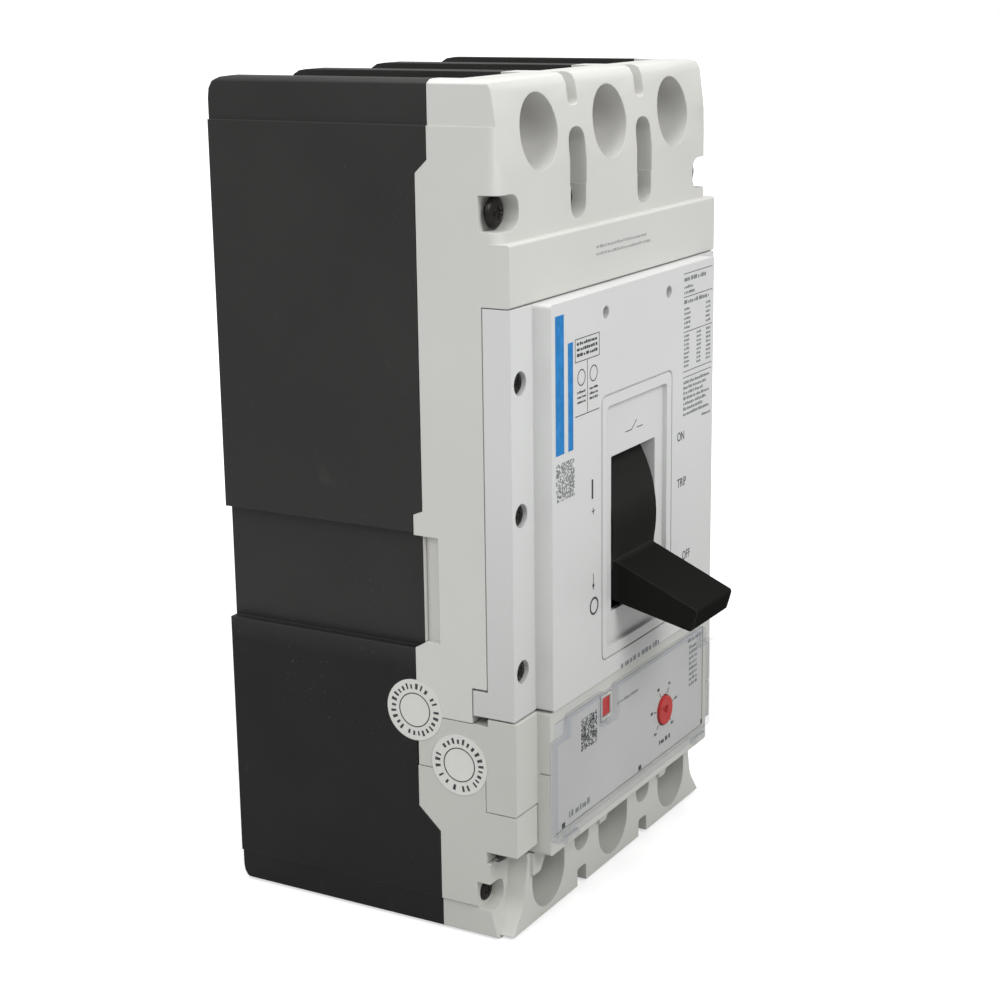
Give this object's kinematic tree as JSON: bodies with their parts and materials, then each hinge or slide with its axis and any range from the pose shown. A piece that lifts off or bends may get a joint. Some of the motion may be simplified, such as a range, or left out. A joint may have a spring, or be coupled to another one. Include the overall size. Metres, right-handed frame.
{
  "type": "molded case breaker",
  "caption": "Molded case circuit breaker with a black rear housing, light grey front covers, a toggle handle, a clear hinged setting cover, a red trip button and a red current dial.",
  "frame": {"origin": "centre of the rear mounting face", "axes": "+Z towards the line end, -Y out of the front face, +X to the right seen from the front"},
  "size_m": [0.1392, 0.1354, 0.2572],
  "materials": {
    "black_case": "matt moulded thermoset",
    "grey_case": "fine matt moulded plastic",
    "handle_plastic": "semi-matt moulded plastic",
    "clear_plastic": "clear polycarbonate",
    "label_plate": "matt printed plate",
    "red_plastic": "satin",
    "steel": "zinc plated",
    "screw_black": "black oxide",
    "copper": "bare copper",
    "fibre": "vulcanised fibre and steel plates",
    "bar_plastic": "moulded thermoset"
  },
  "bodies": {
    "housing": {"base_housing": "black_case", "main_cover": "grey_case", "front_cover": "grey_case", "trip_unit_housing": "grey_case", "load_end_cover": "grey_case", "trip_label_plate": "label_plate", "mechanism_plate_left": "steel", "line_corner_screw_left": "screw_black", "line_well_screw_left": "screw_black", "load_corner_screw_left": "screw_black", "trip_unit_screw_left": "screw_black", "front_cover_screw_left_1": "screw_black", "front_cover_screw_left_2": "screw_black", "front_cover_screw_left_3": "screw_black", "mechanism_plate_right": "steel", "line_corner_screw_right": "screw_black", "line_well_screw_right": "screw_black", "load_corner_screw_right": "screw_black", "trip_unit_screw_right": "screw_black", "front_cover_screw_right_1": "screw_black", "front_cover_screw_right_2": "screw_black", "front_cover_screw_right_3": "screw_black", "line_conductor_left": "copper", "load_conductor_left": "copper", "flexible_braid_left": "copper", "arc_chute_left": "fibre", "bimetal_left": "steel", "magnet_yoke_left": "steel", "line_conductor_centre": "copper", "load_conductor_centre": "copper", "flexible_braid_centre": "copper", "arc_chute_centre": "fibre", "bimetal_centre": "steel", "magnet_yoke_centre": "steel", "line_conductor_right": "copper", "load_conductor_right": "copper", "flexible_braid_right": "copper", "arc_chute_right": "fibre", "bimetal_right": "steel", "magnet_yoke_right": "steel"},
    "handle": {"handle": "handle_plastic", "handle_yoke": "steel", "main_spring_left": "steel", "main_spring_right": "steel"},
    "crossbar": {"crossbar": "bar_plastic", "contact_arm_left": "copper", "contact_arm_centre": "copper", "contact_arm_right": "copper"},
    "lower_link": {"lower_toggle_link": "steel"},
    "cradle": {"cradle": "steel"},
    "upper_link": {"upper_toggle_link": "steel", "toggle_pin": "steel"},
    "push_button": {"push_to_trip_button": "red_plastic"},
    "trip_bar": {"trip_bar": "bar_plastic"},
    "dial": {"adjustment_dial": "red_plastic"},
    "clear_cover": {"clear_cover": "clear_plastic"},
    "armature_left": {"armature_left": "steel"},
    "armature_centre": {"armature_centre": "steel"},
    "armature_right": {"armature_right": "steel"}
  },
  "joints": [
    {"name": "handle_turn", "type": "hinge", "parent": "housing", "child": "handle", "pos_m": [0, -0.064, -0.012], "axis": [-1, 0, 0], "range_deg": [-3, 39]},
    {"name": "crossbar_turn", "type": "hinge", "parent": "housing", "child": "crossbar", "pos_m": [0, -0.036, -0.014], "axis": [-1, 0, 0], "range_deg": [-2, 23]},
    {"name": "lower_link_turn", "type": "hinge", "parent": "crossbar", "child": "lower_link", "pos_m": [0, -0.03867, -0.00026], "axis": [-1, 0, 0], "range_deg": [-2, 9]},
    {"name": "cradle_trip", "type": "hinge", "parent": "housing", "child": "cradle", "pos_m": [0, -0.072, 0.014], "axis": [-1, 0, 0], "range_deg": [0, 14]},
    {"name": "upper_link_turn", "type": "hinge", "parent": "cradle", "child": "upper_link", "pos_m": [0, -0.078, -0.0003], "axis": [-1, 0, 0], "range_deg": [-31, 3]},
    {"name": "button_push", "type": "slide", "parent": "housing", "child": "push_button", "axis": [0, 1, 0], "range_m": [0, 0.002]},
    {"name": "trip_bar_turn", "type": "hinge", "parent": "housing", "child": "trip_bar", "pos_m": [0, -0.08, -0.073], "axis": [-1, 0, 0], "range_deg": [-0.5, 14]},
    {"name": "dial_turn", "type": "hinge", "parent": "housing", "child": "dial", "pos_m": [0.0232, -0.104, -0.0822], "axis": [0, -1, 0], "range_deg": [-170, 55]},
    {"name": "clear_cover_open", "type": "hinge", "parent": "housing", "child": "clear_cover", "pos_m": [0, -0.1091, -0.0999], "axis": [1, 0, 0], "range_deg": [0, 105]},
    {"name": "armature_turn_left", "type": "hinge", "parent": "housing", "child": "armature_left", "pos_m": [-0.0445, -0.0372, -0.068], "axis": [-1, 0, 0], "range_deg": [0, 3.5]},
    {"name": "armature_turn_centre", "type": "hinge", "parent": "housing", "child": "armature_centre", "pos_m": [0, -0.0372, -0.068], "axis": [-1, 0, 0], "range_deg": [0, 3.5]},
    {"name": "armature_turn_right", "type": "hinge", "parent": "housing", "child": "armature_right", "pos_m": [0.0445, -0.0372, -0.068], "axis": [-1, 0, 0], "range_deg": [0, 3.5]}
  ],
  "couplings": [
    {"joint": "crossbar_turn", "follows": "handle_turn", "ratio": 0.5641},
    {"joint": "lower_link_turn", "follows": "handle_turn", "ratio": 0.1846},
    {"joint": "upper_link_turn", "follows": "handle_turn", "ratio": -0.7487},
    {"joint": "trip_bar_turn", "follows": "button_push", "rad_per_m": 117.5}
  ]
}
